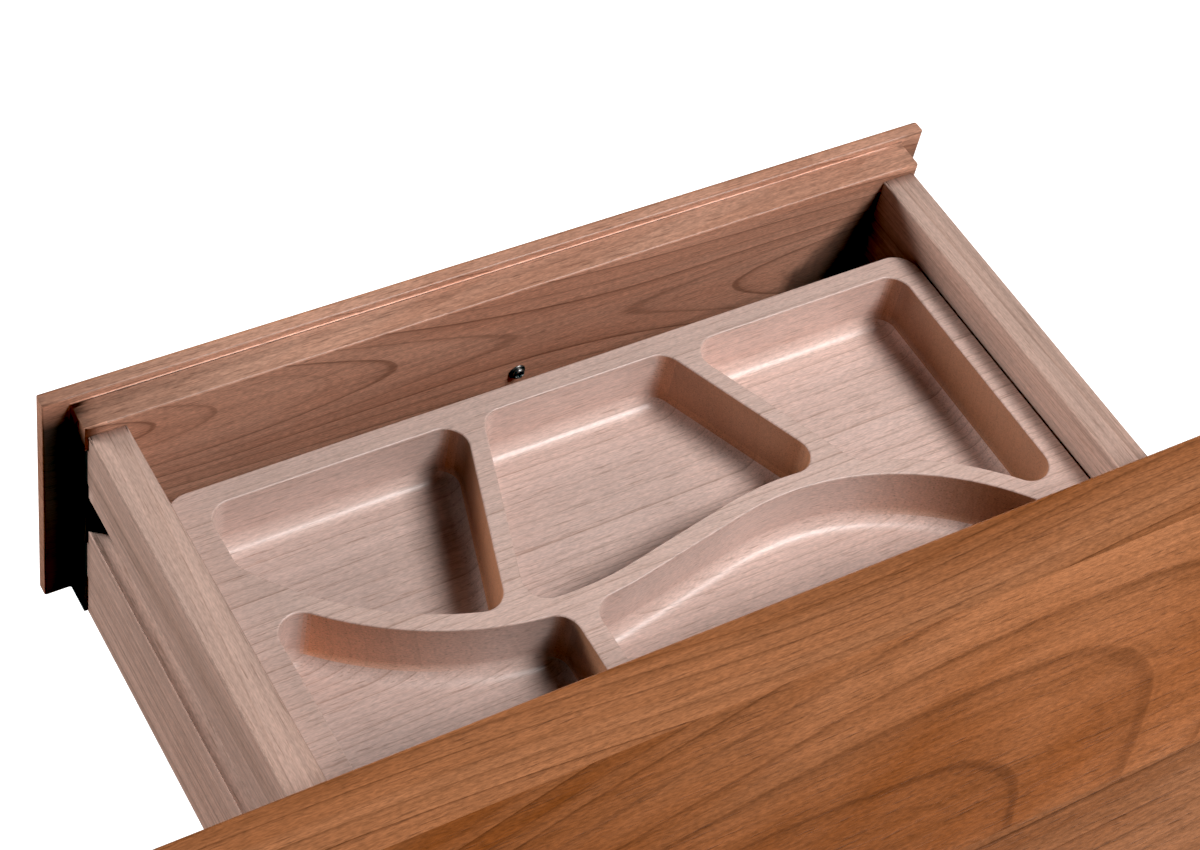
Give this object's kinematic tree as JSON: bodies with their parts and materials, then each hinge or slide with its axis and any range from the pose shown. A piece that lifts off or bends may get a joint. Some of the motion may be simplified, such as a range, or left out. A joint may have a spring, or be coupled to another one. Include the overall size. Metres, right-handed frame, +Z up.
{
  "type": "dresser",
  "caption": "Shaker dresser in cherry and maple: short drawers over long ones on wooden runners, turned knobs, arched feet, and a sliding pocketed tray in the open short drawer.",
  "frame": {"origin": "on the floor, in the middle of the whole object's plan with the left short drawer open as stored", "axes": "+X to the right as seen from the front, +Y from the front to the back, +Z up"},
  "size_m": [0.9424, 0.7344, 0.9793],
  "materials": {
    "cherry": "satin oil and lacquer, warm orange brown",
    "maple": "satin lacquer, pinkish beige",
    "tray_maple": "satin lacquer, routed and sanded",
    "steel": "zinc plated"
  },
  "bodies": {
    "case": {"top_board": "cherry", "case_side_left": "cherry", "case_side_right": "cherry", "back_panel": "maple", "top_rail": "cherry", "top_back_rail": "maple", "drawer_rail_1": "cherry", "drawer_rail_2": "cherry", "drawer_rail_3": "cherry", "bottom_rail": "cherry", "apron": "cherry", "centre_divider": "cherry", "runner_drawer_left_left": "maple", "runner_drawer_left_right": "maple", "runner_drawer_right_left": "maple", "runner_drawer_right_right": "maple", "runner_drawer_2_left": "maple", "runner_drawer_2_right": "maple", "runner_drawer_3_left": "maple", "runner_drawer_3_right": "maple", "runner_drawer_4_left": "maple", "runner_drawer_4_right": "maple"},
    "drawer_left": {"drawer_left_front": "cherry", "drawer_left_side_left": "maple", "drawer_left_side_right": "maple", "drawer_left_back": "maple", "drawer_left_bottom": "maple", "drawer_left_knob": "cherry", "drawer_left_knob_screw": "steel", "tray_cleat_left": "maple", "tray_cleat_right": "maple"},
    "tray": {"tray": "tray_maple"},
    "drawer_right": {"drawer_right_front": "cherry", "drawer_right_side_left": "maple", "drawer_right_side_right": "maple", "drawer_right_back": "maple", "drawer_right_bottom": "maple", "drawer_right_knob": "cherry", "drawer_right_knob_screw": "steel"},
    "drawer_2": {"drawer_2_front": "cherry", "drawer_2_side_left": "maple", "drawer_2_side_right": "maple", "drawer_2_back": "maple", "drawer_2_bottom": "maple", "drawer_2_knob_left": "cherry", "drawer_2_knob_right": "cherry"},
    "drawer_3": {"drawer_3_front": "cherry", "drawer_3_side_left": "maple", "drawer_3_side_right": "maple", "drawer_3_back": "maple", "drawer_3_bottom": "maple", "drawer_3_knob_left": "cherry", "drawer_3_knob_right": "cherry"},
    "drawer_4": {"drawer_4_front": "cherry", "drawer_4_side_left": "maple", "drawer_4_side_right": "maple", "drawer_4_back": "maple", "drawer_4_bottom": "maple", "drawer_4_knob_left": "cherry", "drawer_4_knob_right": "cherry"}
  },
  "joints": [
    {"name": "drawer_left_slide", "type": "slide", "parent": "case", "child": "drawer_left", "axis": [0, -1, 0], "range_m": [-0.2372, 0.0628]},
    {"name": "tray_slide", "type": "slide", "parent": "drawer_left", "child": "tray", "axis": [0, 1, 0], "range_m": [-0.024, 0.105]},
    {"name": "drawer_right_slide", "type": "slide", "parent": "case", "child": "drawer_right", "axis": [0, -1, 0], "range_m": [0, 0.3]},
    {"name": "drawer_2_slide", "type": "slide", "parent": "case", "child": "drawer_2", "axis": [0, -1, 0], "range_m": [0, 0.3]},
    {"name": "drawer_3_slide", "type": "slide", "parent": "case", "child": "drawer_3", "axis": [0, -1, 0], "range_m": [0, 0.3]},
    {"name": "drawer_4_slide", "type": "slide", "parent": "case", "child": "drawer_4", "axis": [0, -1, 0], "range_m": [0, 0.3]}
  ]
}
